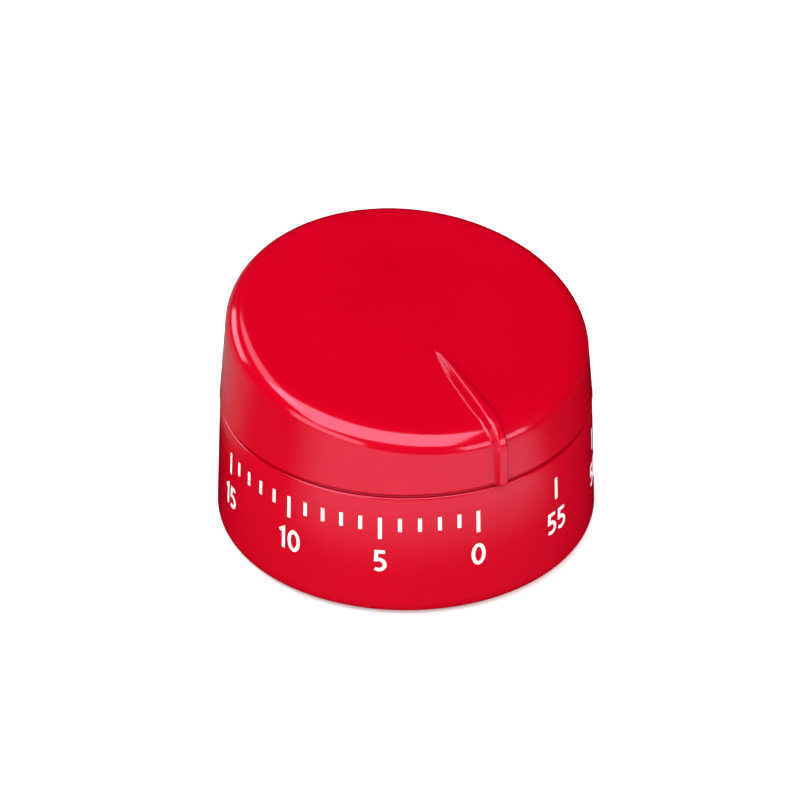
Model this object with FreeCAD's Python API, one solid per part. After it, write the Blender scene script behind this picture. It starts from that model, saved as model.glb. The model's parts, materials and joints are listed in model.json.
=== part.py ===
import FreeCAD
import Part
import math
import os

os.makedirs("parts", exist_ok=True)

# Wind-up kitchen timer, millimetres, +Z up, origin at the bottom centre of the base.
# The zero mark of the minute scale faces -Y; the cap turns about Z.

# ---- housing ----
BASE_RADIUS = 32.5
BASE_TOP_RADIUS = 31.75
BASE_HEIGHT = 23.6
BASE_EDGE_ROUND = 3.3
BASE_WALL = 2.2
DECK_THICKNESS = 1.8
DECK_HOLE_RADIUS = 3.2
COVER_RADIUS = 28.25
COVER_THICKNESS = 2.0
COVER_GAP = 0.12
LEDGE_INNER_RADIUS = 26.6
LEDGE_TOP = 3.2

# ---- cap ----
CAP_BOTTOM_Z = 24.05
CAP_BOTTOM_RADIUS = 31.85
CAP_TAPER = 0.085
CAP_AXIS_HEIGHT = 39.7
CAP_SLOPE = 0.19
CAP_RIM_ROUND = 3.7
CAP_BOTTOM_ROUND = 0.6
CAP_WALL = 2.0
CAP_TOP_THICKNESS = 2.2
HUB_RADIUS = 4.6
HUB_BOTTOM_Z = 26.0
HUB_WEB_WIDTH = 1.2
HUB_WEB_BOTTOM_Z = 31.0
HUB_WEB_ANGLES = (45.0, 135.0, 225.0, 315.0)
POINTER_ANGLE = 6.8
# distance from the axis and rise of the ridge above the slanted top, from its inner end to the rim
RIDGE_TOP_LINE = ((11.1, 0.3), (11.9, 0.9), (13.2, 1.25), (15.5, 1.45), (19.0, 1.6), (24.0, 1.65),
                  (27.0, 1.5))
RIDGE_RIM_RISE = 1.2
RIDGE_END_Z = 23.9
RIDGE_FACE_RADIUS = 32.1
RIDGE_FOOT_START = 0.3
RIDGE_FOOT_END = 1.75
RIDGE_CREST_START = 0.15
RIDGE_CREST_END = 0.9
RIDGE_BURIED = 1.2
RIM_STEPS = 6
STOP_RIB_INNER = 25.5
STOP_RIB_OUTER = 27.0
STOP_RIB_WIDTH = 1.2
STOP_RIB_HEIGHT = 3.0
STOP_GAP = 0.15
BASE_STOP_ANGLE = 180.0
SEAM_LIP_RADIUS = 29.3
SEAM_LIP_WALL = 1.0
SEAM_LIP_HEIGHT = 2.0
CAP_RIB_TOP_Z = 32.0

# ---- movement frame ----
PLATE_RADIUS = 27.0
LOWER_PLATE_Z = 9.6
UPPER_PLATE_Z = 19.8
PLATE_THICKNESS = 1.0
PILLAR_RADIUS = 1.5
PILLAR_END_RADIUS = 0.9
PILLAR_CIRCLE = 25.0
PILLAR_ANGLES = (8.0, 128.0, 245.0, 310.0)
MOUNT_CIRCLE = 22.0
MOUNT_ANGLES = (70.0, 190.0, 330.0)
COVER_SCREW_CIRCLE = 25.5
COVER_SCREW_ANGLES = (30.0, 150.0, 270.0)
COVER_SEAT_Z = 1.1
LUG_RADIUS = 2.3
LUG_TOP_Z = 5.2
BOSS_RADIUS = 3.0
SCREW_RADIUS = 1.0
SCREW_GAP = 0.1
COVER_SCREW_HEAD = (0.9, 2.0)
MOVEMENT_SCREW_HEAD = (1.1, 1.9)
BELL_SCREW_HEAD = (1.2, 2.4)
PIVOT_RADIUS = 0.5
PIVOT_GAP = 0.05
FINE_PIVOT_RADIUS = 0.3

# ---- main arbor ----
ARBOR_RADIUS = 2.0
ARBOR_FLAT = 1.4
ARBOR_FLAT_BOTTOM_Z = 25.0
ARBOR_TOP_Z = 30.0
ARBOR_PIVOT_RADIUS = 1.2
ARBOR_COLLAR_RADIUS = 3.0
RATCHET_TEETH = 24
RATCHET_TIP_RADIUS = 5.0
RATCHET_ROOT_RADIUS = 4.4
MAINSPRING_START = 2.35
MAINSPRING_STEP = 0.62
MAINSPRING_HALF_TURNS = 14
MAINSPRING_THICKNESS = 0.35
HAIRSPRING_START = 0.72
HAIRSPRING_STEP = 0.24
HAIRSPRING_HALF_TURNS = 12
HAIRSPRING_THICKNESS = 0.08

# ---- going train ----
GREAT_TEETH = 72
WHEEL_TEETH = 64
PINION_LEAVES = 8
GREAT_MODULE = 0.4
SECOND_MODULE = 0.3
THIRD_MODULE = 0.25
ESCAPE_TEETH = 15
ESCAPE_TIP_RADIUS = 4.5
ESCAPE_ROOT_RADIUS = 3.3
PIN_RADIUS = 0.15
PIN_GAP = 0.12
PIN_SPREAD = 30.0
FORK_LENGTH = 5.5
IMPULSE_RADIUS = 2.0
ROLLER_RADIUS = 2.5
BALANCE_RADIUS = 5.5

GREAT_DISTANCE = GREAT_MODULE * (GREAT_TEETH + PINION_LEAVES) / 2.0
SECOND_DISTANCE = SECOND_MODULE * (WHEEL_TEETH + PINION_LEAVES) / 2.0
THIRD_DISTANCE = THIRD_MODULE * (WHEEL_TEETH + PINION_LEAVES) / 2.0
PALLET_DISTANCE = 5.35
BALANCE_DISTANCE = FORK_LENGTH + IMPULSE_RADIUS

SECOND_DIRECTION = 90.0
THIRD_DIRECTION = -11.0
ESCAPE_DIRECTION = -55.0
LEVER_DIRECTION = -80.0
ALARM_DIRECTION = 200.0

# levels between the plates
GREAT_Z = (14.6, 15.4)
RATCHET_Z = (15.6, 16.4)
SECOND_WHEEL_Z = (17.0, 17.6)
THIRD_WHEEL_Z = (18.4, 19.0)
ESCAPE_WHEEL_Z = (16.4, 17.0)
LEVER_Z = (15.6, 16.2)
ROLLER_Z = (14.6, 15.3)
BALANCE_Z = (18.2, 19.0)
CAM_Z = (17.0, 17.8)
SPRING_Z = (11.2, 13.8)
HAIRSPRING_Z = (12.6, 13.4)
PINION_Z = (14.3, 15.7)
THIRD_PINION_Z = (16.7, 17.9)
ESCAPE_PINION_Z = (18.1, 19.3)
HAMMER_ARM_Z = (8.4, 9.3)
HAMMER_HEAD_BOTTOM_Z = 6.6

# ---- alarm ----
STAR_TEETH = 7
STAR_TIP_RADIUS = 4.0
CAM_RADIUS = 5.5
CAM_NOTCH_RADIUS = 4.1
CAM_NOTCH_ANGLE = 262.0
CAM_NOTCH_HALF = 14.0
FINGER_LENGTH = 5.5
FINGER_OFFSET = 4.55
NOSE_ANGLE = 265.0
NOSE_REACH = 8.0
HEAD_CIRCLE = 19.6
HEAD_ANGLE = 226.8
HEAD_RADIUS = 1.4
HAMMER_PIVOT_RADIUS = 0.6
STAR_ROOT_RADIUS = 2.2
STUD_RADIUS = 0.8
STUD_SHOULDER_RADIUS = 1.2
CLICK_RIVET_RADIUS = 0.45
# bell section as (radius, height): over the outside from the centre hole to the mouth, and back inside
BELL_OUTSIDE = ((1.1, 3.2), (14.0, 3.2), (19.6, 4.4), (22.4, 6.2), (23.3, 8.0))
BELL_INSIDE = ((22.45, 8.0), (21.7, 6.6), (19.1, 5.15), (13.9, 4.0), (1.1, 4.0))


def vec(x, y, z=0.0):
    return FreeCAD.Vector(x, y, z)


def polar(radius, angle, origin=(0.0, 0.0)):
    # plan point at a distance and direction (degrees from +X) from an origin
    turn = math.radians(angle)
    return (origin[0] + radius * math.cos(turn), origin[1] + radius * math.sin(turn))


MAIN = (0.0, 0.0)
SECOND = polar(GREAT_DISTANCE, SECOND_DIRECTION)
THIRD = polar(SECOND_DISTANCE, THIRD_DIRECTION, SECOND)
ESCAPE = polar(THIRD_DISTANCE, ESCAPE_DIRECTION, THIRD)
PALLET = polar(PALLET_DISTANCE, LEVER_DIRECTION, ESCAPE)
BALANCE = polar(BALANCE_DISTANCE, LEVER_DIRECTION, PALLET)
ALARM = polar(GREAT_DISTANCE, ALARM_DIRECTION)
HAMMER = (ALARM[0] - FINGER_LENGTH, ALARM[1] - FINGER_OFFSET)
NOSE = polar(CAM_RADIUS + 0.65, NOSE_ANGLE)
NOSE_ARM = polar(CAM_RADIUS + 2.1, NOSE_ANGLE)
RELEASE = polar(NOSE_REACH, NOSE_ANGLE - 90.0, NOSE_ARM)
HEAD = polar(HEAD_CIRCLE, HEAD_ANGLE)
CLICK = polar(7.4, 339.0)
CLICK_NOSE = polar(4.85, 319.5)


# ---- shape helpers ----
def cylinder(radius, low, high, centre=MAIN):
    return Part.makeCylinder(radius, high - low, vec(centre[0], centre[1], low))


def ring(outer, inner, low, high, centre=MAIN):
    return cylinder(outer, low, high, centre).cut(cylinder(inner, low - 1.0, high + 1.0, centre))


def revolved(profile):
    # full turn about Z of a closed (radius, height) outline
    points = [vec(r, 0.0, z) for r, z in profile]
    face = Part.Face(Part.makePolygon(points + [points[0]]))
    return face.revolve(vec(0, 0, 0), vec(0, 0, 1), 360.0)


def prism(outline, low, high):
    # upright prism over a closed plan outline of straight sides
    points = [vec(x, y, low) for x, y in outline]
    face = Part.Face(Part.makePolygon(points + [points[0]]))
    return face.extrude(vec(0, 0, high - low))


def bar(start, end, width, low, high):
    # flat bar with round ends between two plan points
    angle = math.degrees(math.atan2(end[1] - start[1], end[0] - start[0]))
    half = width / 2.0
    corners = [polar(half, angle + 90.0, start), polar(half, angle + 90.0, end)]
    corners += [polar(half, angle - 90.0, end), polar(half, angle - 90.0, start)]
    body = prism(corners, low, high)
    body = body.fuse(cylinder(half, low, high, start))
    return body.fuse(cylinder(half, low, high, end)).removeSplitter()


def save(name, solids):
    if not isinstance(solids, list):
        solids = [solids]
    shape = solids[0] if len(solids) == 1 else Part.makeCompound(solids)
    if shape.ShapeType == "Compound" and len(shape.Solids) == 1:
        shape = shape.Solids[0]
    shape.exportStep("parts/" + name + ".step")


# ---- toothed shapes ----
def toothed_prism(centre, teeth, root, pitch, tip, width, first_angle, low, high):
    # teeth with radial flanks up to the pitch circle and a round tip
    pitch_half = math.degrees(width / 2.0 / pitch)
    edges = []
    for index in range(teeth):
        middle = first_angle + 360.0 * index / teeth
        after = middle + 360.0 / teeth
        flank_root = vec(*polar(root, middle - pitch_half, centre), low)
        flank_pitch = vec(*polar(pitch, middle - pitch_half, centre), low)
        top = vec(*polar(tip, middle, centre), low)
        far_pitch = vec(*polar(pitch, middle + pitch_half, centre), low)
        far_root = vec(*polar(root, middle + pitch_half, centre), low)
        next_root = vec(*polar(root, after - pitch_half, centre), low)
        edges.append(Part.makeLine(flank_root, flank_pitch))
        edges.append(Part.Arc(flank_pitch, top, far_pitch).toShape())
        edges.append(Part.makeLine(far_pitch, far_root))
        edges.append(Part.makeLine(far_root, next_root))
    face = Part.Face(Part.Wire(edges))
    return face.extrude(vec(0, 0, high - low))


def wheel(centre, teeth, module, first_angle, levels, hole, spokes, hub):
    pitch = module * teeth / 2.0
    low, high = levels
    width = 0.46 * math.pi * module
    body = toothed_prism(centre, teeth, pitch - 1.15 * module, pitch, pitch + 0.8 * module, width,
                         first_angle, low, high)
    rim = pitch - 1.15 * module - 1.1
    window = ring(rim, hub, low - 1.0, high + 1.0, centre)
    for index in range(spokes):
        away = polar(rim + 1.0, first_angle + 360.0 * index / spokes, centre)
        window = window.cut(bar(centre, away, 1.2, low - 2.0, high + 2.0))
    body = body.cut(window)
    return body.cut(cylinder(hole, low - 1.0, high + 1.0, centre))


def pinion(centre, module, first_angle, levels):
    pitch = module * PINION_LEAVES / 2.0
    width = 0.36 * math.pi * module
    return toothed_prism(centre, PINION_LEAVES, pitch - 1.15 * module, pitch, pitch + 0.5 * width, width,
                         first_angle, levels[0], levels[1])


def arbor(centre, radius, pivot=PIVOT_RADIUS, shoulder=0.2):
    # shaft between the plates with a thinner pivot at each end
    low = LOWER_PLATE_Z + PLATE_THICKNESS + shoulder
    high = UPPER_PLATE_Z - shoulder
    shaft = cylinder(radius, low, high, centre)
    return shaft.fuse(cylinder(pivot, LOWER_PLATE_Z, UPPER_PLATE_Z + PLATE_THICKNESS, centre))


# ---- springs ----
def spiral_strip(centre, start_radius, step, half_turns, thickness, levels):
    # flat spiral of half circles whose centres alternate by one step
    low, high = levels
    inner = []
    outer = []
    for index in range(half_turns):
        shift = step if index % 2 else 0.0
        side = -1.0 if index % 2 else 1.0
        for chain, extra in ((inner, 0.0), (outer, thickness)):
            reach = start_radius + index * step + extra
            x = centre[0] + shift
            first = vec(x + side * reach, centre[1], low)
            middle = vec(x, centre[1] + side * reach, low)
            last = vec(x - side * reach, centre[1], low)
            chain.append(Part.Arc(first, middle, last).toShape())
    start_inner = vec(centre[0] + start_radius, centre[1], low)
    start_outer = vec(centre[0] + start_radius + thickness, centre[1], low)
    ends = Part.makeLine(start_inner, start_outer)
    last_side = -1.0 if (half_turns - 1) % 2 else 1.0
    last_shift = step if (half_turns - 1) % 2 else 0.0
    end_reach = start_radius + (half_turns - 1) * step
    end_inner = vec(centre[0] + last_shift - last_side * end_reach, centre[1], low)
    end_outer = vec(centre[0] + last_shift - last_side * (end_reach + thickness), centre[1], low)
    close = Part.makeLine(end_inner, end_outer)
    wire = Part.Wire(Part.__sortEdges__(inner + outer + [ends, close]))
    return Part.Face(wire).extrude(vec(0, 0, high - low))


# ---- housing pieces ----
def make_base_shell():
    edge = BASE_EDGE_ROUND
    inner = BASE_RADIUS - BASE_WALL
    deck_low = BASE_HEIGHT - DECK_THICKNESS
    top_inner = BASE_TOP_RADIUS - BASE_WALL
    bore = COVER_RADIUS + COVER_GAP
    corner = BASE_RADIUS - edge
    start = vec(corner, 0, 0)
    middle = vec(corner + edge * math.sin(math.pi / 4), 0, edge - edge * math.cos(math.pi / 4))
    finish = vec(BASE_RADIUS, 0, edge)
    outline = [Part.Arc(start, middle, finish).toShape()]
    path = [(BASE_RADIUS, edge), (BASE_TOP_RADIUS, BASE_HEIGHT), (DECK_HOLE_RADIUS, BASE_HEIGHT)]
    path += [(DECK_HOLE_RADIUS, deck_low), (top_inner, deck_low), (inner, LEDGE_TOP)]
    path += [(LEDGE_INNER_RADIUS, LEDGE_TOP), (LEDGE_INNER_RADIUS, COVER_THICKNESS)]
    path += [(bore, COVER_THICKNESS), (bore, 0.0), (corner, 0.0)]
    for first, second in zip(path[:-1], path[1:]):
        outline.append(Part.makeLine(vec(first[0], 0, first[1]), vec(second[0], 0, second[1])))
    body = Part.Face(Part.Wire(outline)).revolve(vec(0, 0, 0), vec(0, 0, 1), 360.0)
    for angle in COVER_SCREW_ANGLES:
        spot = polar(COVER_SCREW_CIRCLE, angle)
        lug = cylinder(LUG_RADIUS, COVER_THICKNESS, LUG_TOP_Z, spot)
        web = bar(spot, polar(inner + 0.5, angle), LUG_RADIUS, COVER_THICKNESS, LUG_TOP_Z)
        body = body.fuse(lug).fuse(web)
        body = body.cut(cylinder(SCREW_RADIUS, COVER_THICKNESS - 0.5, LUG_TOP_Z - 0.3, spot))
    for angle in MOUNT_ANGLES:
        spot = polar(MOUNT_CIRCLE, angle)
        body = body.fuse(cylinder(BOSS_RADIUS, UPPER_PLATE_Z + PLATE_THICKNESS, deck_low + 0.5, spot))
        body = body.cut(cylinder(SCREW_RADIUS + SCREW_GAP, deck_low - 2.0, BASE_HEIGHT + 1.0, spot))
    stop = stop_rib(BASE_STOP_ANGLE, BASE_HEIGHT - 0.3, BASE_HEIGHT + STOP_RIB_HEIGHT)
    lip_inner = SEAM_LIP_RADIUS - SEAM_LIP_WALL
    lip = ring(SEAM_LIP_RADIUS, lip_inner, BASE_HEIGHT - 0.3, BASE_HEIGHT + SEAM_LIP_HEIGHT)
    return body.fuse(stop).fuse(lip).removeSplitter()


def stop_rib(angle, low, high):
    # radial rib used as a turning stop, at a direction from +X
    return bar(polar(STOP_RIB_INNER, angle), polar(STOP_RIB_OUTER, angle), STOP_RIB_WIDTH, low, high)


def cap_stop_angle():
    # the cap rib stands just clear of the base rib, on its clockwise side
    return BASE_STOP_ANGLE - math.degrees((STOP_RIB_WIDTH + STOP_GAP) / STOP_RIB_INNER)


def make_bottom_cover():
    body = cylinder(COVER_RADIUS, 0.0, COVER_THICKNESS)
    body = body.fuse(cylinder(3.2, COVER_THICKNESS, 3.2))
    body = body.cut(cylinder(SCREW_RADIUS, 0.6, 3.3))
    for angle in COVER_SCREW_ANGLES:
        spot = polar(COVER_SCREW_CIRCLE, angle)
        body = body.cut(cylinder(COVER_SCREW_HEAD[1] + 0.15, -1.0, COVER_SEAT_Z, spot))
        body = body.cut(cylinder(SCREW_RADIUS + SCREW_GAP, 0.0, COVER_THICKNESS + 1.0, spot))
    return body


def pan_screw(spot, seat, tip, head):
    # pan head screw; the head (height, radius) stands on the seat, on the side away from the tip
    head_height, head_radius = head
    rise = head_height if seat > tip else -head_height
    low, high = sorted((seat, seat + rise))
    body = cylinder(head_radius, low, high, spot)
    outer_face = seat + rise
    slot_low, slot_high = sorted((outer_face, outer_face - rise * 0.45))
    slot = Part.makeBox(head_radius * 3.0, 0.45, slot_high - slot_low)
    slot.translate(vec(spot[0] - head_radius * 1.5, spot[1] - 0.225, slot_low))
    low, high = sorted((seat, tip))
    shank = cylinder(SCREW_RADIUS, low, high, spot)
    return body.cut(slot).fuse(shank).removeSplitter()


def wall_radius(z):
    return CAP_BOTTOM_RADIUS - CAP_TAPER * (z - CAP_BOTTOM_Z)


def slanted_block(axis_height, drop_angle):
    # everything below the slanted plane
    block = Part.makeBox(120.0, 120.0, 80.0, vec(-60.0, -60.0, -80.0))
    slant = math.degrees(math.atan(CAP_SLOPE))
    block.rotate(vec(0, 0, 0), vec(1, 0, 0), slant)
    block.rotate(vec(0, 0, 0), vec(0, 0, 1), drop_angle)
    block.translate(vec(0, 0, axis_height))
    return block


def ridge_stations():
    # foot radius, foot height, tilt of the outward normal and rise of the crest, along the ridge
    slant = math.atan(CAP_SLOPE)
    lean = math.atan(CAP_TAPER)
    top_inset = CAP_AXIS_HEIGHT - CAP_RIM_ROUND / math.cos(slant)
    wall_inset = wall_radius(0.0) - CAP_RIM_ROUND / math.cos(lean)
    centre_z = (top_inset - CAP_SLOPE * wall_inset) / (1.0 - CAP_SLOPE * CAP_TAPER)
    centre_r = wall_inset - CAP_TAPER * centre_z
    stations = []
    for radius, rise in RIDGE_TOP_LINE:
        stations.append((radius, CAP_AXIS_HEIGHT - CAP_SLOPE * radius, slant, rise))
    wall_tilt = math.pi / 2.0 - lean
    wall_rise = RIDGE_FACE_RADIUS - centre_r - CAP_RIM_ROUND
    for index in range(RIM_STEPS + 1):
        share = index / RIM_STEPS
        tilt = slant + (wall_tilt - slant) * share
        radius = centre_r + CAP_RIM_ROUND * math.sin(tilt)
        height = centre_z + CAP_RIM_ROUND * math.cos(tilt)
        stations.append((radius, height, tilt, RIDGE_RIM_RISE + (wall_rise - RIDGE_RIM_RISE) * share))
    end_radius = wall_radius(RIDGE_END_Z)
    stations.append((end_radius, RIDGE_END_Z, math.pi / 2.0, RIDGE_FACE_RADIUS - end_radius))
    return stations


def ridge_outlines():
    # cross outlines of the pointer ridge, which grows wider from its inner end to the rim
    stations = ridge_stations()
    start = stations[0][0]
    rim = stations[-2][0]
    wires = []
    for radius, height, tilt, rise in stations:
        share = min(1.0, (radius - start) / (rim - start))
        foot = RIDGE_FOOT_START + (RIDGE_FOOT_END - RIDGE_FOOT_START) * share
        crest = RIDGE_CREST_START + (RIDGE_CREST_END - RIDGE_CREST_START) * share
        corners = [(-foot, -RIDGE_BURIED), (-foot, 0.0), (-crest, rise)]
        corners += [(crest, rise), (foot, 0.0), (foot, -RIDGE_BURIED)]
        points = []
        for side, lift in corners:
            points.append(vec(side, -radius - lift * math.sin(tilt), height + lift * math.cos(tilt)))
        wires.append(Part.makePolygon(points + [points[0]]))
    return wires


def make_cap():
    top = CAP_AXIS_HEIGHT + 12.0
    outside = revolved([(0.0, CAP_BOTTOM_Z), (CAP_BOTTOM_RADIUS, CAP_BOTTOM_Z),
                        (wall_radius(top), top), (0.0, top)])
    outside = outside.common(slanted_block(CAP_AXIS_HEIGHT, 0.0))
    rim = [e for e in outside.Edges if e.BoundBox.ZMin > CAP_BOTTOM_Z + 1.0 and e.BoundBox.XLength > 40.0]
    outside = outside.makeFillet(CAP_RIM_ROUND, rim)
    foot = [e for e in outside.Edges if e.BoundBox.ZMax < CAP_BOTTOM_Z + 0.1 and e.BoundBox.XLength > 40.0]
    outside = outside.makeFillet(CAP_BOTTOM_ROUND, foot)
    ridge = Part.makeLoft(ridge_outlines(), True, True)
    inner_bottom = CAP_BOTTOM_RADIUS - CAP_WALL
    inside = revolved([(0.0, CAP_BOTTOM_Z - 1.0), (inner_bottom, CAP_BOTTOM_Z - 1.0),
                       (wall_radius(top) - CAP_WALL, top), (0.0, top)])
    inside = inside.common(slanted_block(CAP_AXIS_HEIGHT - CAP_TOP_THICKNESS, 0.0))
    body = outside.fuse(ridge).cut(inside)
    # the hub and its four webs reach up into the roof of the cap
    hub_top = CAP_AXIS_HEIGHT + 5.0
    hub = cylinder(HUB_RADIUS, HUB_BOTTOM_Z, hub_top)
    for angle in HUB_WEB_ANGLES:
        hub = hub.fuse(bar(MAIN, polar(inner_bottom - 0.8, angle), HUB_WEB_WIDTH, HUB_WEB_BOTTOM_Z, hub_top))
    hub = hub.common(slanted_block(CAP_AXIS_HEIGHT - CAP_TOP_THICKNESS / 2.0, 0.0)).common(outside)
    body = body.fuse(hub)
    body.rotate(vec(0, 0, 0), vec(0, 0, 1), POINTER_ANGLE)
    rib_low = BASE_HEIGHT + STOP_RIB_HEIGHT + 0.4
    rib = stop_rib(cap_stop_angle(), BASE_HEIGHT + 0.9, CAP_RIB_TOP_Z)
    link_start = polar(STOP_RIB_OUTER, cap_stop_angle())
    link_end = polar(inner_bottom - 0.2, cap_stop_angle())
    rib = rib.fuse(bar(link_start, link_end, STOP_RIB_WIDTH, rib_low, CAP_RIB_TOP_Z))
    body = body.fuse(rib)
    return body.cut(arbor_top_shape(ARBOR_TOP_Z))


# ---- main arbor group ----
def arbor_top_shape(high):
    # upper end of the main arbor with one flat for the cap
    rod = cylinder(ARBOR_RADIUS, UPPER_PLATE_Z + PLATE_THICKNESS + 0.2, high)
    length = high - ARBOR_FLAT_BOTTOM_Z
    flat = Part.makeBox(ARBOR_RADIUS * 2, ARBOR_RADIUS * 3, length,
                        vec(ARBOR_FLAT, -ARBOR_RADIUS * 1.5, ARBOR_FLAT_BOTTOM_Z))
    return rod.cut(flat)


def make_main_arbor():
    shoulder = LOWER_PLATE_Z + PLATE_THICKNESS + 0.2
    body = cylinder(ARBOR_PIVOT_RADIUS, LOWER_PLATE_Z - 0.6, shoulder + 0.2)
    body = body.fuse(cylinder(ARBOR_RADIUS, shoulder, BASE_HEIGHT - DECK_THICKNESS + 0.2))
    body = body.fuse(cylinder(ARBOR_COLLAR_RADIUS, UPPER_PLATE_Z - 0.9, UPPER_PLATE_Z - 0.2))
    return body.fuse(arbor_top_shape(ARBOR_TOP_Z)).removeSplitter()


def make_great_wheel():
    body = wheel(MAIN, GREAT_TEETH, GREAT_MODULE, SECOND_DIRECTION, GREAT_Z, ARBOR_RADIUS, 4, 9.4)
    return body.cut(cylinder(CLICK_RIVET_RADIUS, GREAT_Z[0] - 1.0, GREAT_Z[1] + 1.0, CLICK))


def make_ratchet_wheel():
    low, high = RATCHET_Z
    outline = []
    for index in range(RATCHET_TEETH):
        angle = 360.0 * index / RATCHET_TEETH
        outline.append(polar(RATCHET_TIP_RADIUS, angle))
        outline.append(polar(RATCHET_ROOT_RADIUS, angle + 1.5))
    return prism(outline, low, high).cut(cylinder(ARBOR_RADIUS, low - 1.0, high + 1.0))


def make_click_pawl():
    low, high = RATCHET_Z
    body = cylinder(0.9, low, high, CLICK).fuse(bar(CLICK, CLICK_NOSE, 0.3, low, high))
    return body.cut(cylinder(CLICK_RIVET_RADIUS + PIVOT_GAP, low - 1.0, high + 1.0, CLICK)).removeSplitter()


def make_click_rivet():
    high = RATCHET_Z[1] + 0.1
    body = cylinder(CLICK_RIVET_RADIUS, GREAT_Z[0], high, CLICK)
    return body.fuse(cylinder(0.8, high, high + 0.3, CLICK))


def make_click_spring():
    low = GREAT_Z[1]
    post = polar(8.4, 300.0)
    blade = bar(post, (4.3, -4.1), 0.25, low + 0.3, RATCHET_Z[1])
    return cylinder(0.6, low, RATCHET_Z[1], post).fuse(blade).removeSplitter()


def make_strike_cam():
    low, high = CAM_Z
    body = cylinder(CAM_RADIUS, low, high)
    first = CAM_NOTCH_ANGLE - CAM_NOTCH_HALF
    last = CAM_NOTCH_ANGLE + CAM_NOTCH_HALF
    notch = [MAIN, polar(9.0, first), polar(9.0, CAM_NOTCH_ANGLE), polar(9.0, last)]
    cut = prism(notch, low - 1.0, high + 1.0).cut(cylinder(CAM_NOTCH_RADIUS, low - 2.0, high + 2.0))
    return body.cut(cut).cut(cylinder(ARBOR_RADIUS, low - 1.0, high + 1.0))


def make_mainspring():
    return spiral_strip(MAIN, MAINSPRING_START, MAINSPRING_STEP, MAINSPRING_HALF_TURNS,
                        MAINSPRING_THICKNESS, SPRING_Z)


# ---- going train pieces ----
def pinion_arbor(centre, module, toward, levels, radius):
    # leaves placed so that a gap faces the wheel that drives them
    gap_turn = toward + 180.0 / PINION_LEAVES
    body = arbor(centre, radius)
    return body.fuse(pinion(centre, module, gap_turn, levels)).removeSplitter()


def make_second_pinion():
    return pinion_arbor(SECOND, GREAT_MODULE, SECOND_DIRECTION + 180.0, PINION_Z, 0.9)


def make_second_wheel():
    return wheel(SECOND, WHEEL_TEETH, SECOND_MODULE, THIRD_DIRECTION, SECOND_WHEEL_Z, 0.9, 4, 2.2)


def make_third_pinion():
    return pinion_arbor(THIRD, SECOND_MODULE, THIRD_DIRECTION + 180.0, THIRD_PINION_Z, 0.7)


def make_third_wheel():
    return wheel(THIRD, WHEEL_TEETH, THIRD_MODULE, ESCAPE_DIRECTION, THIRD_WHEEL_Z, 0.7, 4, 1.9)


def make_escape_pinion():
    return pinion_arbor(ESCAPE, THIRD_MODULE, ESCAPE_DIRECTION + 180.0, ESCAPE_PINION_Z, 0.6)


def make_escape_wheel():
    low, high = ESCAPE_WHEEL_Z
    pitch = 360.0 / ESCAPE_TEETH
    # a tooth lies a quarter pitch beside each pallet pin
    first = LEVER_DIRECTION + PIN_SPREAD + pitch / 4.0
    outline = []
    for index in range(ESCAPE_TEETH):
        middle = first + pitch * index
        outline.append(polar(ESCAPE_ROOT_RADIUS, middle - 3.6, ESCAPE))
        outline.append(polar(ESCAPE_TIP_RADIUS, middle - 1.4, ESCAPE))
        outline.append(polar(ESCAPE_TIP_RADIUS, middle + 1.4, ESCAPE))
        outline.append(polar(ESCAPE_ROOT_RADIUS, middle + 3.6, ESCAPE))
    body = prism(outline, low, high)
    window = ring(2.6, 1.4, low - 1.0, high + 1.0, ESCAPE)
    for index in range(3):
        away = polar(3.0, first + 120.0 * index, ESCAPE)
        window = window.cut(bar(ESCAPE, away, 0.7, low - 2.0, high + 2.0))
    return body.cut(window).cut(cylinder(0.6, low - 1.0, high + 1.0, ESCAPE))


def pin_spots():
    reach = ESCAPE_TIP_RADIUS + PIN_RADIUS + PIN_GAP
    return [polar(reach, LEVER_DIRECTION + side * PIN_SPREAD, ESCAPE) for side in (-1.0, 1.0)]


def make_pallet_lever():
    low, high = LEVER_Z
    body = cylinder(1.0, low, high, PALLET)
    for spot in pin_spots():
        body = body.fuse(bar(PALLET, spot, 0.7, low, high))
    fork_end = polar(FORK_LENGTH + 0.55, LEVER_DIRECTION, PALLET)
    tail = bar(PALLET, fork_end, 1.5, low, high)
    slot_start = polar(FORK_LENGTH - 0.55, LEVER_DIRECTION, PALLET)
    slot_end = polar(FORK_LENGTH + 3.0, LEVER_DIRECTION, PALLET)
    tail = tail.cut(bar(slot_start, slot_end, 0.62, low - 1.0, high + 1.0))
    body = body.fuse(tail)
    for spot in pin_spots():
        body = body.cut(cylinder(PIN_RADIUS, low - 1.0, high + 1.0, spot))
    return body.cut(cylinder(0.6, low - 1.0, high + 1.0, PALLET)).removeSplitter()


def make_pallet_pins():
    return [cylinder(PIN_RADIUS, LEVER_Z[0], ESCAPE_WHEEL_Z[1] + 0.15, spot) for spot in pin_spots()]


def make_balance_staff():
    body = arbor(BALANCE, 0.6, FINE_PIVOT_RADIUS, 0.15)
    body = body.fuse(cylinder(ROLLER_RADIUS, ROLLER_Z[0], ROLLER_Z[1], BALANCE))
    pin = polar(IMPULSE_RADIUS, LEVER_DIRECTION + 180.0, BALANCE)
    return body.fuse(cylinder(0.2, ROLLER_Z[0], LEVER_Z[1] + 0.2, pin)).removeSplitter()


def make_balance_wheel():
    low, high = BALANCE_Z
    body = ring(BALANCE_RADIUS, BALANCE_RADIUS - 1.0, low, high, BALANCE)
    for angle in (0.0, 120.0, 240.0):
        body = body.fuse(bar(BALANCE, polar(BALANCE_RADIUS - 0.5, angle, BALANCE), 0.9, low, high - 0.2))
    body = body.fuse(cylinder(1.3, low, high, BALANCE))
    return body.cut(cylinder(0.6, low - 1.0, high + 1.0, BALANCE)).removeSplitter()


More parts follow.
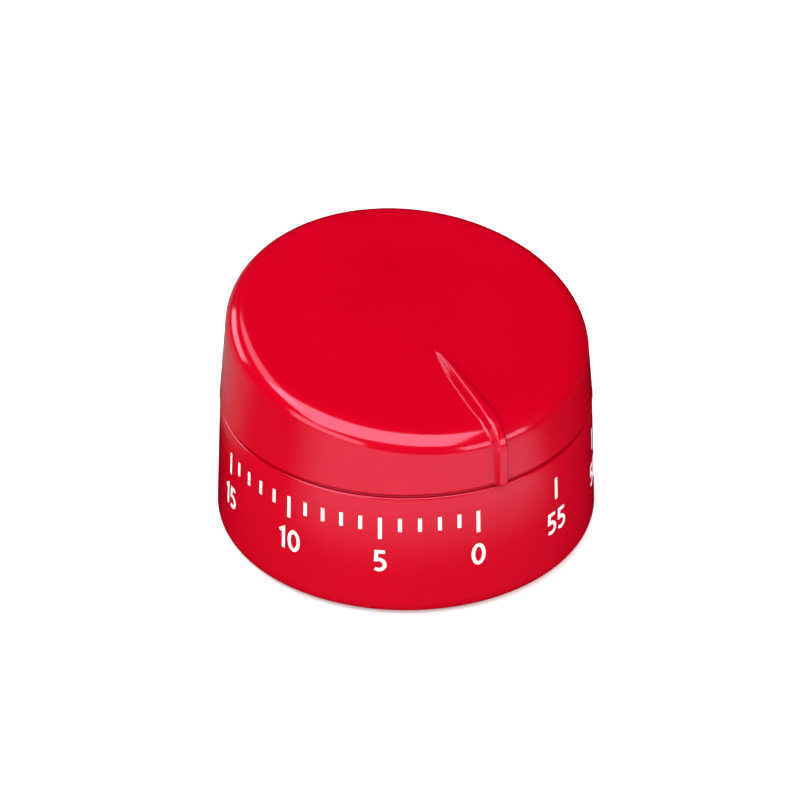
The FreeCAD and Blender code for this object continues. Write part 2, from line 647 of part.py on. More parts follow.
def make_hairspring():
    return spiral_strip(BALANCE, HAIRSPRING_START, HAIRSPRING_STEP, HAIRSPRING_HALF_TURNS,
                        HAIRSPRING_THICKNESS, HAIRSPRING_Z)


# ---- alarm pieces ----
def make_alarm_pinion():
    return pinion_arbor(ALARM, GREAT_MODULE, ALARM_DIRECTION + 180.0, PINION_Z, 0.9)


def make_star_wheel():
    low, high = CAM_Z
    pitch = 360.0 / STAR_TEETH
    # a gap of the star faces the hammer finger
    first = -90.0 + pitch / 2.0
    outline = []
    for index in range(STAR_TEETH):
        middle = first + pitch * index
        outline.append(polar(STAR_ROOT_RADIUS, middle - pitch * 0.22, ALARM))
        outline.append(polar(STAR_TIP_RADIUS, middle - 3.0, ALARM))
        outline.append(polar(STAR_TIP_RADIUS, middle + 3.0, ALARM))
        outline.append(polar(STAR_ROOT_RADIUS, middle + pitch * 0.22, ALARM))
    return prism(outline, low, high).cut(cylinder(0.9, low - 1.0, high + 1.0, ALARM))


def make_release_lever():
    low, high = CAM_Z
    knee = (RELEASE[0] - 4.2, RELEASE[1] - 5.0)
    foot = (HAMMER[0] + FINGER_LENGTH + 0.3, HAMMER[1] - 1.75)
    body = cylinder(1.3, low, high, RELEASE)
    body = body.fuse(bar(RELEASE, NOSE_ARM, 1.0, low, high))
    body = body.fuse(bar(NOSE_ARM, NOSE, 1.0, low, high))
    body = body.fuse(bar(RELEASE, knee, 1.0, low, high))
    body = body.fuse(bar(knee, foot, 0.8, low, high))
    return body.cut(cylinder(STUD_RADIUS + PIVOT_GAP, low - 1.0, high + 1.0, RELEASE)).removeSplitter()


def make_release_stud():
    # shouldered stud riveted in the upper plate, with a head that keeps the lever on
    keeper = CAM_Z[0] - 0.15
    body = cylinder(STUD_RADIUS, keeper, UPPER_PLATE_Z + PLATE_THICKNESS, RELEASE)
    body = body.fuse(cylinder(STUD_SHOULDER_RADIUS, CAM_Z[1] + 0.15, UPPER_PLATE_Z, RELEASE))
    return body.fuse(cylinder(STUD_SHOULDER_RADIUS, keeper - 0.2, keeper, RELEASE)).removeSplitter()


def make_hammer_arbor():
    body = arbor(HAMMER, 0.9, HAMMER_PIVOT_RADIUS)
    body = body.fuse(cylinder(HAMMER_PIVOT_RADIUS, HAMMER_ARM_Z[0], LOWER_PLATE_Z + PLATE_THICKNESS, HAMMER))
    tip = (HAMMER[0] + FINGER_LENGTH + 0.4, HAMMER[1])
    return body.fuse(bar(HAMMER, tip, 0.8, CAM_Z[0], CAM_Z[1])).removeSplitter()


def make_hammer_arm():
    low, high = HAMMER_ARM_Z
    body = bar(HAMMER, HEAD, 1.7, low, high).fuse(cylinder(1.5, low, high, HAMMER))
    body = body.cut(cylinder(HAMMER_PIVOT_RADIUS, low - 1.0, high + 1.0, HAMMER))
    return body.cut(cylinder(HAMMER_PIVOT_RADIUS, low - 1.0, high + 1.0, HEAD)).removeSplitter()


def make_hammer_head():
    low, high = HAMMER_ARM_Z
    body = cylinder(HEAD_RADIUS, HAMMER_HEAD_BOTTOM_Z, low, HEAD)
    return body.fuse(cylinder(HAMMER_PIVOT_RADIUS, low - 0.4, high, HEAD)).removeSplitter()


def make_bell():
    return revolved(BELL_OUTSIDE + BELL_INSIDE)


# ---- movement frame pieces ----
def pivot_holes(plate, low, high, entries):
    for centre, radius in entries:
        plate = plate.cut(cylinder(radius + PIVOT_GAP, low - 1.0, high + 1.0, centre))
    return plate


def small_pivots():
    entries = [(SECOND, PIVOT_RADIUS), (THIRD, PIVOT_RADIUS), (ESCAPE, PIVOT_RADIUS)]
    entries += [(PALLET, PIVOT_RADIUS), (BALANCE, FINE_PIVOT_RADIUS)]
    entries += [(ALARM, PIVOT_RADIUS), (HAMMER, HAMMER_PIVOT_RADIUS)]
    return entries


def plate_blank(low):
    high = low + PLATE_THICKNESS
    body = cylinder(PLATE_RADIUS, low, high)
    for angle in PILLAR_ANGLES:
        body = body.cut(cylinder(PILLAR_END_RADIUS, low - 1.0, high + 1.0, polar(PILLAR_CIRCLE, angle)))
    return body


def make_lower_plate():
    low = LOWER_PLATE_Z
    body = plate_blank(low)
    return pivot_holes(body, low, low + PLATE_THICKNESS, small_pivots() + [(MAIN, ARBOR_PIVOT_RADIUS)])


def make_upper_plate():
    low = UPPER_PLATE_Z
    high = low + PLATE_THICKNESS
    body = pivot_holes(plate_blank(low), low, high, small_pivots() + [(MAIN, ARBOR_RADIUS)])
    body = body.cut(cylinder(STUD_RADIUS, low - 1.0, high + 1.0, RELEASE))
    for angle in MOUNT_ANGLES:
        body = body.cut(cylinder(SCREW_RADIUS, low - 1.0, high + 1.0, polar(MOUNT_CIRCLE, angle)))
    return body


def make_pillars():
    pillars = []
    for angle in PILLAR_ANGLES:
        spot = polar(PILLAR_CIRCLE, angle)
        body = cylinder(PILLAR_RADIUS, LOWER_PLATE_Z + PLATE_THICKNESS, UPPER_PLATE_Z, spot)
        ends = cylinder(PILLAR_END_RADIUS, LOWER_PLATE_Z, UPPER_PLATE_Z + PLATE_THICKNESS, spot)
        pillars.append(body.fuse(ends).removeSplitter())
    return pillars


def main():
    save("base_shell", make_base_shell())
    save("bottom_cover", make_bottom_cover())
    spots = [polar(COVER_SCREW_CIRCLE, angle) for angle in COVER_SCREW_ANGLES]
    save("cover_screws", [pan_screw(spot, COVER_SEAT_Z, LUG_TOP_Z - 0.4, COVER_SCREW_HEAD) for spot in spots])
    spots = [polar(MOUNT_CIRCLE, angle) for angle in MOUNT_ANGLES]
    tip = UPPER_PLATE_Z + 0.1
    save("movement_screws", [pan_screw(spot, BASE_HEIGHT, tip, MOVEMENT_SCREW_HEAD) for spot in spots])
    save("cap", make_cap())
    save("main_arbor", make_main_arbor())
    save("great_wheel", make_great_wheel())
    save("ratchet_wheel", make_ratchet_wheel())
    save("click_pawl", make_click_pawl())
    save("click_rivet", make_click_rivet())
    save("click_spring", make_click_spring())
    save("strike_cam", make_strike_cam())
    save("mainspring", make_mainspring())
    save("second_pinion", make_second_pinion())
    save("second_wheel", make_second_wheel())
    save("third_pinion", make_third_pinion())
    save("third_wheel", make_third_wheel())
    save("escape_pinion", make_escape_pinion())
    save("escape_wheel", make_escape_wheel())
    save("pallet_lever", make_pallet_lever())
    save("pallet_pins", make_pallet_pins())
    save("pallet_arbor", arbor(PALLET, 0.6))
    save("balance_staff", make_balance_staff())
    save("balance_wheel", make_balance_wheel())
    save("hairspring", make_hairspring())
    save("alarm_pinion", make_alarm_pinion())
    save("star_wheel", make_star_wheel())
    save("release_lever", make_release_lever())
    save("release_stud", make_release_stud())
    save("hammer_arbor", make_hammer_arbor())
    save("hammer_arm", make_hammer_arm())
    save("hammer_head", make_hammer_head())
    save("bell", make_bell())
    save("bell_screw", pan_screw(MAIN, BELL_INSIDE[-1][1], 0.8, BELL_SCREW_HEAD))
    save("lower_plate", make_lower_plate())
    save("upper_plate", make_upper_plate())
    save("plate_pillars", make_pillars())


main()
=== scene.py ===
import bpy
import json
import math
from mathutils import Matrix, Vector


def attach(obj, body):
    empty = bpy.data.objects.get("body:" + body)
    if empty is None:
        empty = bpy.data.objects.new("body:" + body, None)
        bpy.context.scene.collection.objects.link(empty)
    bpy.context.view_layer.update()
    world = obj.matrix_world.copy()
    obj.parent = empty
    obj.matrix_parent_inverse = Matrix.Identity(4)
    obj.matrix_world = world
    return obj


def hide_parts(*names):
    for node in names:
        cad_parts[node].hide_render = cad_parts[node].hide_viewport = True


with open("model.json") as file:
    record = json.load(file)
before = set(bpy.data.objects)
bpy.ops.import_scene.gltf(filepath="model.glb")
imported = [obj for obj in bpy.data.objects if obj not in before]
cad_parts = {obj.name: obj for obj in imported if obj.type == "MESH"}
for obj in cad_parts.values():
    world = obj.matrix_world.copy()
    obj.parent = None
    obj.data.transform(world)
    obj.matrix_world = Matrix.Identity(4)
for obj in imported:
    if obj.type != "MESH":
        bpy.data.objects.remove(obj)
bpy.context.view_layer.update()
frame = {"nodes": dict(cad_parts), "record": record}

# All sizes in millimetres here, turned to metres when a mesh is made.
MM = 0.001

# ---- base housing: heights and radii ----
BASE_RADIUS = 32.5
BASE_TOP_RADIUS = 31.75
BASE_HEIGHT = 23.6
BASE_EDGE_ROUND = 3.3
SEAM_ROUND = 0.45
SEAM_STEP_RADIUS = 31.2
SEAM_STEP_TOP_Z = 23.84
SEAM_LIP_RADIUS = 29.3
SEAM_LIP_WALL = 1.0
SEAM_LIP_TOP_Z = 25.6
SMALL_BEVEL = 0.15
DECK_HOLE_RADIUS = 3.2
DECK_BOTTOM_Z = 21.8
INNER_TOP_RADIUS = 29.5
INNER_LOW_RADIUS = 30.3
LEDGE_RADIUS = 26.6
LEDGE_TOP_Z = 3.2
COVER_TOP_Z = 2.0
COVER_OPENING_RADIUS = 28.37
BASE_SEGMENTS = 288
TUBE_SIDES = 40

# ---- fittings inside the base ----
LUG_CIRCLE = 25.5
LUG_ANGLES = (30.0, 150.0, 270.0)
LUG_RADIUS = 2.3
LUG_HOLE_RADIUS = 1.0
LUG_TOP_Z = 5.2
LUG_WEB_REACH = (27.5, 30.8)
BOSS_CIRCLE = 22.0
BOSS_ANGLES = (70.0, 190.0, 330.0)
BOSS_RADIUS = 3.0
BOSS_HOLE_RADIUS = 1.1
BOSS_HEIGHTS = (20.8, 22.3)
STOP_CIRCLE = 25.5
STOP_REACH = (24.9, 27.6)
STOP_WIDTH = 1.2
BASE_STOP_ANGLE = 180.0
BASE_STOP_HEIGHTS = (23.3, 26.6)

# ---- cap ----
CAP_BOTTOM_Z = 24.05
CAP_BOTTOM_RADIUS = 31.85
CAP_TAPER = 0.085
CAP_AXIS_HEIGHT = 39.7
CAP_SLOPE = 0.19
CAP_RIM_ROUND = 3.6
CAP_RIM_EASE = 6.0
CAP_BOTTOM_ROUND = 0.6
CAP_WALL = 2.0
CAP_TOP_THICKNESS = 2.2
POINTER_ANGLE = 6.8
TOP_STEPS = 60
TOP_CENTRE_STEPS = 8
TOP_CENTRE_SHARE = 0.38
RIM_STEPS = 28
WALL_STEPS = 12
BOTTOM_STEPS = 6
# wall height assumed when the inner corner under the top is placed
CORNER_RISE = 12.0
# cosine of the widest direction in which the ridge can lift the skin
NEAR_RIDGE = 0.9
# degrees either side of the ridge that get the fine columns
RIDGE_SECTOR = (-4.5, 8.5)
FINE_COLUMN = 0.1
COARSE_COLUMN = 1.5

# ---- fittings inside the cap ----
HUB_RADIUS = 4.6
HUB_BORE_RADIUS = 2.02
HUB_BOTTOM_Z = 26.0
HUB_CORE_RADIUS = 2.3
HUB_CORE_BORE_RADIUS = 0.01
HUB_CORE_BOTTOM_Z = 30.1
HUB_CORE_BURIED = 1.0
WEB_ANGLES = (45.0, 135.0, 225.0, 315.0)
WEB_REACH = (4.3, 28.8)
WEB_WIDTH = 1.2
WEB_BOTTOM_Z = 31.0
WEB_BURIED = 0.9
CAP_STOP_GAP = 1.35
CAP_STOP_HEIGHTS = (24.5, 32.0)
CAP_STOP_LINK_REACH = (27.0, 29.6)
CAP_STOP_LINK_BOTTOM_Z = 27.0

# ---- pointer ridge: (distance from the axis, value) ----
RIDGE_RISE = (
    (9.9, 0.0), (10.5, 0.3), (11.3, 0.72), (13.2, 1.05),
    (15.5, 1.22), (19.0, 1.36), (24.0, 1.46), (28.6, 1.36),
)
RIDGE_FLAT = (
    (10.0, 0.0), (12.0, 0.05), (16.0, 0.06), (20.0, 0.08),
    (25.0, 0.12), (28.6, 0.3), (31.0, 0.45), (31.8, 0.5),
)
RIDGE_CREST_ROUND = (
    (10.0, 0.05), (12.0, 0.36), (16.0, 0.9), (20.0, 1.1),
    (25.0, 1.2), (28.6, 0.9), (31.0, 0.4), (31.8, 0.3),
)
RIDGE_ROOT_ROUND = (
    (10.0, 0.05), (12.0, 0.4), (16.0, 0.75), (25.0, 0.8),
    (28.6, 0.6), (31.0, 0.3), (31.8, 0.25),
)
RIDGE_FLANK_ANGLE = ((10.0, 60.0), (12.0, 70.0), (15.0, 75.0), (28.6, 72.0), (31.0, 68.0), (31.8, 66.0))
RIDGE_RIM_RISE = 1.36
RIDGE_FACE_RADIUS = 32.95
RIDGE_OFFSET = 0.4
RIDGE_END_Z = 23.92
RIDGE_END_FADE = 0.2

# ---- printed scale ----
TICK_TOP_Z = 19.7
LONG_TICK = 4.1
SHORT_TICK = 2.55
TICK_WIDTH = 0.62
LAST_SINGLE_MINUTE = 15
DEGREES_PER_MINUTE = 6.0
DIGIT_HEIGHT = 4.05
DIGIT_TOP_Z = 13.3
DIGIT_STROKE = 0.6
DIGIT_GAP = 0.10
PRINT_RISE = 0.03
PRINT_BURIED = 0.02

# ---- materials ----
NOISE_LOW = 0.3
NOISE_HIGH = 0.7
PLASTIC_CLOUD = 45.0
PLASTIC_BUMP_STRENGTH = 0.35
PLASTIC_SPECULAR = 0.6
METAL_CLOUD = 120.0
METAL_GRAIN = 900.0
METAL_BUMP_DEPTH = 0.000004
METAL_BUMP_STRENGTH = 0.3

# ---- view ----
VIEW_AZIMUTH = -22.2
VIEW_ELEVATION = 33.91
VIEW_DISTANCE = 975.0
LENS_LENGTH = 253.647
SENSOR_WIDTH = 36.0
# degrees between the look axis and the line to the origin, sideways and upward
LOOK_YAW = 0.0615
LOOK_PITCH = 1.12004

# ---- studio: degrees, metres and watts; azimuths are counted from VIEW_AZIMUTH ----
LAMP_AIM_Z = 0.03
# above this elevation a lamp is levelled by the picture's right, below it by the horizon
LEVEL_LAMP_LIMIT = 62.0
LAMPS = (
    # name, azimuth, elevation, distance, width, height, power, seen in gloss
    ("main_softbox", -20.0, 66.0, 1.1, 1.6, 1.05, 24.0, True),
    ("front_left_softbox", -42.0, 14.0, 1.2, 0.95, 0.42, 3.8, True),
    ("front_right_softbox", 54.0, 17.0, 1.2, 0.8, 0.36, 3.4, True),
    ("left_back_softbox", -122.0, 21.0, 1.2, 0.62, 0.4, 3.2, True),
    ("left_high_softbox", -111.0, 58.0, 1.2, 1.15, 0.34, 3.0, True),
    ("near_fill", -30.0, 45.0, 0.17, 0.08, 0.08, 0.07, False),
    ("right_fill", 75.0, 30.0, 0.9, 0.5, 0.5, 2.6, False),
)
# azimuth, half-angle where the patch ends, half-angle where it is full, strength
FRONT_LOBE = (9.0, 73.0, 42.0, 1.02)
LEFT_LOBE = (-130.0, 45.0, 12.0, 0.26)
FLOOR_Z = -0.0002
FLOOR_REACH = 3.0
FLOOR_GLOW = 0.3
CARD_Z = -0.0001
CARD_REACH = 2.0
# distance from the axis over which the card's glow comes in, dark inside it as painted shadow of the object
# on the table, and upward direction over which the walls' goes
CARD_FADE = (0.047, 0.073)
WALL_FADE = (0.45, 0.85)
SKY_LEVEL = 0.03


def make_mesh(name, points, faces, sharp_angle=40.0):
    mesh = bpy.data.meshes.new(name)
    mesh.from_pydata([(x * MM, y * MM, z * MM) for x, y, z in points], [], faces)
    mesh.validate()
    mesh.update()
    for polygon in mesh.polygons:
        polygon.use_smooth = True
    mesh.set_sharp_from_angle(angle=math.radians(sharp_angle))
    piece = bpy.data.objects.new(name, mesh)
    bpy.context.scene.collection.objects.link(piece)
    return piece


def arc_points(centre, radius, start, end, steps):
    points = []
    for index in range(steps + 1):
        angle = math.radians(start + (end - start) * index / steps)
        points.append((centre[0] + radius * math.cos(angle), centre[1] + radius * math.sin(angle)))
    return points


def lathe(name, outline, segments):
    # closed outline of (radius, height) points turned about Z
    points = []
    faces = []
    count = len(outline)
    for segment in range(segments):
        turn = 2.0 * math.pi * segment / segments
        for radius, height in outline:
            points.append((radius * math.sin(turn), -radius * math.cos(turn), height))
    for segment in range(segments):
        here = segment * count
        there = ((segment + 1) % segments) * count
        for index in range(count):
            after = (index + 1) % count
            faces.append((here + index, here + after, there + after, there + index))
    return make_mesh(name, points, faces)


# ---- base housing ----
def base_radius(height):
    taper = (BASE_RADIUS - BASE_TOP_RADIUS) / (BASE_HEIGHT - BASE_EDGE_ROUND)
    return BASE_RADIUS - taper * (height - BASE_EDGE_ROUND)


def build_base():
    edge = BASE_EDGE_ROUND
    shoulder = BASE_HEIGHT - SEAM_ROUND
    outline = [(COVER_OPENING_RADIUS, 0.0)]
    outline += arc_points((BASE_RADIUS - edge, edge), edge, -90.0, 0.0, 16)
    for step in range(1, 9):
        height = edge + (shoulder - edge) * step / 8.0
        outline.append((base_radius(height), height))
    outline += arc_points((BASE_TOP_RADIUS - SEAM_ROUND, shoulder), SEAM_ROUND, 10.0, 90.0, 6)
    # step behind the rounded edge, then the lip that the cap turns round
    step_radius = SEAM_STEP_RADIUS
    outline += [(step_radius + 0.02, BASE_HEIGHT + 0.03), (step_radius, BASE_HEIGHT + 0.08)]
    outline += [(step_radius, SEAM_STEP_TOP_Z - 0.04), (step_radius - 0.05, SEAM_STEP_TOP_Z)]
    lip = SEAM_LIP_RADIUS
    lip_inner = lip - SEAM_LIP_WALL
    outline += [(lip, SEAM_STEP_TOP_Z), (lip, SEAM_LIP_TOP_Z - SMALL_BEVEL)]
    outline += [(lip - SMALL_BEVEL, SEAM_LIP_TOP_Z), (lip_inner + SMALL_BEVEL, SEAM_LIP_TOP_Z)]
    outline += [(lip_inner, SEAM_LIP_TOP_Z - SMALL_BEVEL), (lip_inner, BASE_HEIGHT)]
    # deck, inside of the wall, and the ledge round the cover
    outline += [(DECK_HOLE_RADIUS, BASE_HEIGHT), (DECK_HOLE_RADIUS, DECK_BOTTOM_Z)]
    outline += [(INNER_TOP_RADIUS, DECK_BOTTOM_Z), (INNER_LOW_RADIUS, LEDGE_TOP_Z)]
    outline += [(LEDGE_RADIUS, LEDGE_TOP_Z), (LEDGE_RADIUS, COVER_TOP_Z), (COVER_OPENING_RADIUS, COVER_TOP_Z)]
    outline.reverse()
    return lathe("base_housing", outline, BASE_SEGMENTS)


def plan_point(radius, angle):
    turn = math.radians(angle)
    return radius * math.cos(turn), radius * math.sin(turn)


def add_tube(points, faces, centre, outer, inner, low, high):
    # upright tube round a plan point
    sides = TUBE_SIDES
    first = len(points)
    for radius, height in ((outer, low), (outer, high), (inner, high), (inner, low)):
        for side in range(sides):
            turn = 2.0 * math.pi * side / sides
            points.append((centre[0] + radius * math.cos(turn), centre[1] + radius * math.sin(turn), height))
    for band in range(4):
        lower = first + band * sides
        upper = first + ((band + 1) % 4) * sides
        for side in range(sides):
            after = (side + 1) % sides
            faces.append((lower + side, lower + after, upper + after, upper + side))


def add_beam(points, faces, start, end, width, low, high_start, high_end):
    # straight web between two plan points; its top may slope
    along = Vector((end[0] - start[0], end[1] - start[1])).normalized()
    side = Vector((-along.y, along.x)) * width * 0.5
    first = len(points)
    for place, high in ((start, high_start), (end, high_end)):
        for sign in (1.0, -1.0):
            points.append((place[0] + sign * side.x, place[1] + sign * side.y, low))
            points.append((place[0] + sign * side.x, place[1] + sign * side.y, high))
    a, b, c, d, e, f, g, h = range(first, first + 8)
    faces.extend([(a, b, f, e), (c, g, h, d), (a, e, g, c), (b, d, h, f), (a, c, d, b), (e, f, h, g)])


def build_base_fittings():
    points = []
    faces = []
    for angle in LUG_ANGLES:
        centre = plan_point(LUG_CIRCLE, angle)
        add_tube(points, faces, centre, LUG_RADIUS, LUG_HOLE_RADIUS, COVER_TOP_Z, LUG_TOP_Z)
        start, end = (plan_point(reach, angle) for reach in LUG_WEB_REACH)
        add_beam(points, faces, start, end, LUG_RADIUS, COVER_TOP_Z, LUG_TOP_Z, LUG_TOP_Z)
    for angle in BOSS_ANGLES:
        centre = plan_point(BOSS_CIRCLE, angle)
        add_tube(points, faces, centre, BOSS_RADIUS, BOSS_HOLE_RADIUS, *BOSS_HEIGHTS)
    start, end = (plan_point(reach, BASE_STOP_ANGLE) for reach in STOP_REACH)
    low, high = BASE_STOP_HEIGHTS
    add_beam(points, faces, start, end, STOP_WIDTH, low, high, high)
    return make_mesh("base_fittings", points, faces)


# ---- cap ----
def wall_radius(height):
    return CAP_BOTTOM_RADIUS - CAP_TAPER * (height - CAP_BOTTOM_Z)


def eased(table, place):
    # smooth curve through the table entries; the slope at each one follows its neighbours
    if place <= table[0][0]:
        return table[0][1]
    if place >= table[-1][0]:
        return table[-1][1]
    index = 0
    while table[index + 1][0] < place:
        index += 1
    x0, y0 = table[index]
    x1, y1 = table[index + 1]
    before = table[max(index - 1, 0)]
    after = table[min(index + 2, len(table) - 1)]
    slope0 = (y1 - before[1]) / (x1 - before[0])
    slope1 = (after[1] - y0) / (after[0] - x0)
    span = x1 - x0
    u = (place - x0) / span
    a = 2 * u ** 3 - 3 * u ** 2 + 1
    b = u ** 3 - 2 * u ** 2 + u
    c = -2 * u ** 3 + 3 * u ** 2
    d = u ** 3 - u ** 2
    return a * y0 + b * span * slope0 + c * y1 + d * span * slope1


def rim_profile(azimuth):
    # start of the rounded rim on the slanted top, then (step outward, step up, tilt) along it
    slope = CAP_SLOPE * math.cos(azimuth)
    slant = math.atan(slope)
    wall_tilt = math.pi / 2.0 - math.atan(CAP_TAPER)
    ease = CAP_RIM_EASE * max(0.0, math.cos(azimuth)) ** 2
    out = 0.0
    up = 0.0
    steps = []
    turn = (wall_tilt - slant) / RIM_STEPS
    for index in range(RIM_STEPS):
        share = (index + 0.5) / RIM_STEPS
        tilt = slant + turn * (index + 0.5)
        bend = CAP_RIM_ROUND + ease * (1.0 - share) ** 3
        out += bend * math.cos(tilt) * turn
        up -= bend * math.sin(tilt) * turn
        steps.append((out, up, slant + turn * (index + 1)))
    reach = CAP_BOTTOM_RADIUS - CAP_TAPER * (CAP_AXIS_HEIGHT + up - CAP_BOTTOM_Z) - out
    start = reach / (1.0 - slope * CAP_TAPER)
    return start, slope, slant, steps


def top_share(step):
    # share of the top's radius at one step, closer together near the centre
    if step <= TOP_CENTRE_STEPS:
        return math.sqrt(step / TOP_STEPS)
    outer = (step - TOP_CENTRE_STEPS) / (TOP_STEPS - TOP_CENTRE_STEPS)
    return TOP_CENTRE_SHARE + (1.0 - TOP_CENTRE_SHARE) * outer


def cap_section(azimuth):
    # (radius, height, tilt) of the outer skin in one upright plane through the axis
    start, slope, slant, steps = rim_profile(azimuth)
    skin = []
    for step in range(1, TOP_STEPS + 1):
        radius = start * top_share(step)
        skin.append((radius, CAP_AXIS_HEIGHT - slope * radius, slant))
    edge = CAP_AXIS_HEIGHT - slope * start
    for out, up, tilt in steps:
        skin.append((start + out, edge + up, tilt))
    wall_top = skin[-1][1]
    wall_low = CAP_BOTTOM_Z + CAP_BOTTOM_ROUND
    for step in range(1, WALL_STEPS + 1):
        height = wall_top + (wall_low - wall_top) * step / WALL_STEPS
        skin.append((wall_radius(height), height, skin[TOP_STEPS + RIM_STEPS - 1][2]))
    return skin


def cap_columns():
    # directions round the cap, close together where the pointer ridge is
    columns = []
    angle = RIDGE_SECTOR[0]
    while angle < RIDGE_SECTOR[1] - 1e-6:
        columns.append(angle)
        angle += FINE_COLUMN
    while angle < RIDGE_SECTOR[0] + 360.0 - 1e-6:
        columns.append(angle)
        angle += COARSE_COLUMN
    return [math.radians(value) for value in columns]


def ridge_lift(side, rise, shape):
    # height of the ridge at a sideways distance: crest arc, straight flank and hollow root arc
    flat, crest, root, angle = shape
    turn = math.radians(angle)
    shrink = min(1.0, rise / ((crest + root) * (1.0 - math.cos(turn)) + 1e-6))
    crest *= shrink
    root *= shrink
    drop = max(0.0, rise - (crest + root) * (1.0 - math.cos(turn)))
    flank_start = flat + crest * math.sin(turn)
    flank_end = flank_start + drop / math.tan(turn)
    foot = flank_end + root * math.sin(turn)
    place = abs(side)
    if place <= flat:
        return rise
    if place <= flank_start:
        return rise - crest + math.sqrt(max(0.0, crest ** 2 - (place - flat) ** 2))
    if place <= flank_end:
        return rise - crest * (1.0 - math.cos(turn)) - (place - flank_start) * math.tan(turn)
    if place < foot:
        return root - math.sqrt(max(0.0, root ** 2 - (foot - place) ** 2))
    return 0.0


def ridge_shape(radius):
    tables = (RIDGE_FLAT, RIDGE_CREST_ROUND, RIDGE_ROOT_ROUND, RIDGE_FLANK_ANGLE)
    return tuple(eased(table, radius) for table in tables)


def ridge_values(middle):
    # (rise, section shape) of the ridge for every point of the cap's outer skin
    rim_end = TOP_STEPS + RIM_STEPS
    wall_rise = RIDGE_FACE_RADIUS - middle[rim_end - 1][0]
    values = []
    for index, (radius, _, _) in enumerate(middle):
        if index < TOP_STEPS:
            rise = eased(RIDGE_RISE, radius)
        elif index < rim_end:
            share = (index - TOP_STEPS + 1) / RIM_STEPS
            rise = RIDGE_RIM_RISE + (wall_rise - RIDGE_RIM_RISE) * share
        else:
            rise = RIDGE_FACE_RADIUS - radius
        values.append((rise, ridge_shape(radius)))
    return values


def ceiling(azimuth, radius):
    # height of the underside of the cap's top
    return CAP_AXIS_HEIGHT - CAP_TOP_THICKNESS - CAP_SLOPE * math.cos(azimuth) * radius


def skin_ring(azimuth, middle, ridge, near):
    # outer skin in one direction, lifted along the ridge's own normals; points are (side, out, height)
    ring = []
    for (radius, height, _), (rise, form), line in zip(cap_section(azimuth), ridge, middle):
        side = radius * math.sin(azimuth)
        out = radius * math.cos(azimuth)
        if near and rise > 0.0:
            lift = ridge_lift(side - RIDGE_OFFSET, rise, form)
            out += lift * math.sin(line[2])
            height += lift * math.cos(line[2])
        ring.append((side, out, height))
    return ring


def inner_ring(azimuth, ridge, near):
    # rounded bottom edge, inside of the wall and underside of the top; the ridge reaches a little lower
    ring = []
    face = wall_radius(CAP_BOTTOM_Z)
    proud = 0.0
    if near:
        proud = ridge_lift(face * math.sin(azimuth) - RIDGE_OFFSET, *ridge[-1])
    bottom = CAP_BOTTOM_Z + (RIDGE_END_Z - CAP_BOTTOM_Z) * min(1.0, proud / RIDGE_END_FADE)
    for step in range(1, BOTTOM_STEPS + 1):
        bend = math.radians(90.0 * step / BOTTOM_STEPS)
        reach = face - CAP_BOTTOM_ROUND * (1.0 - math.cos(bend))
        above = CAP_BOTTOM_ROUND * (1.0 - math.sin(bend))
        ring.append((reach * math.sin(azimuth), reach * math.cos(azimuth) + proud, bottom + above))
    inner = face - CAP_WALL
    corner = ceiling(azimuth, inner - CAP_TAPER * CORNER_RISE)
    corner_radius = inner - CAP_TAPER * (corner - CAP_BOTTOM_Z)
    inside = [(inner + SMALL_BEVEL, bottom), (inner, CAP_BOTTOM_Z + SMALL_BEVEL), (corner_radius, corner)]
    for part in (0.75, 0.5, 0.25):
        inside.append((corner_radius * part, ceiling(azimuth, corner_radius * part)))
    for reach, height in inside:
        ring.append((reach * math.sin(azimuth), reach * math.cos(azimuth), height))
    return ring


def build_cap():
    middle = cap_section(0.0)
    ridge = ridge_values(middle)
    turn = math.radians(POINTER_ANGLE)
    points = []
    columns = cap_columns()
    for azimuth in columns:
        near = math.cos(azimuth) > NEAR_RIDGE
        ring = skin_ring(azimuth, middle, ridge, near) + inner_ring(azimuth, ridge, near)
        for side, out, height in ring:
            x = side * math.cos(turn) + out * math.sin(turn)
            y = side * math.sin(turn) - out * math.cos(turn)
            points.append((x, y, height))
    total = len(columns)
    count = len(points) // total
    top_centre = len(points)
    points.append((0.0, 0.0, CAP_AXIS_HEIGHT))
    under_centre = len(points)
    points.append((0.0, 0.0, CAP_AXIS_HEIGHT - CAP_TOP_THICKNESS))
    faces = []
    for column in range(total):
        here = column * count
        there = ((column + 1) % total) * count
        faces.append((top_centre, here, there))
        for index in range(count - 1):
            faces.append((here + index, here + index + 1, there + index + 1, there + index))
        faces.append((here + count - 1, under_centre, there + count - 1))
    return make_mesh("cap_shell", points, faces, 50.0)


def build_cap_fittings():
    points = []
    faces = []
    centre = (0.0, 0.0)
    add_tube(points, faces, centre, HUB_RADIUS, HUB_BORE_RADIUS, HUB_BOTTOM_Z, ceiling(0.0, HUB_RADIUS))
    core_top = ceiling(0.0, 0.0) + HUB_CORE_BURIED
    add_tube(points, faces, centre, HUB_CORE_RADIUS, HUB_CORE_BORE_RADIUS, HUB_CORE_BOTTOM_Z, core_top)
    for angle in WEB_ANGLES:
        start, end = (plan_point(reach, angle + POINTER_ANGLE) for reach in WEB_REACH)
        lean = math.radians(angle + 90.0)
        tops = [ceiling(lean, reach) + WEB_BURIED for reach in WEB_REACH]
        add_beam(points, faces, start, end, WEB_WIDTH, WEB_BOTTOM_Z, *tops)
    angle = BASE_STOP_ANGLE - math.degrees(CAP_STOP_GAP / STOP_CIRCLE)
    low, high = CAP_STOP_HEIGHTS
    for reaches, bottom in ((STOP_REACH, low), (CAP_STOP_LINK_REACH, CAP_STOP_LINK_BOTTOM_Z)):
        start, end = (plan_point(reach, angle) for reach in reaches)
        add_beam(points, faces, start, end, STOP_WIDTH, bottom, high, high)
    return make_mesh("cap_fittings", points, faces)


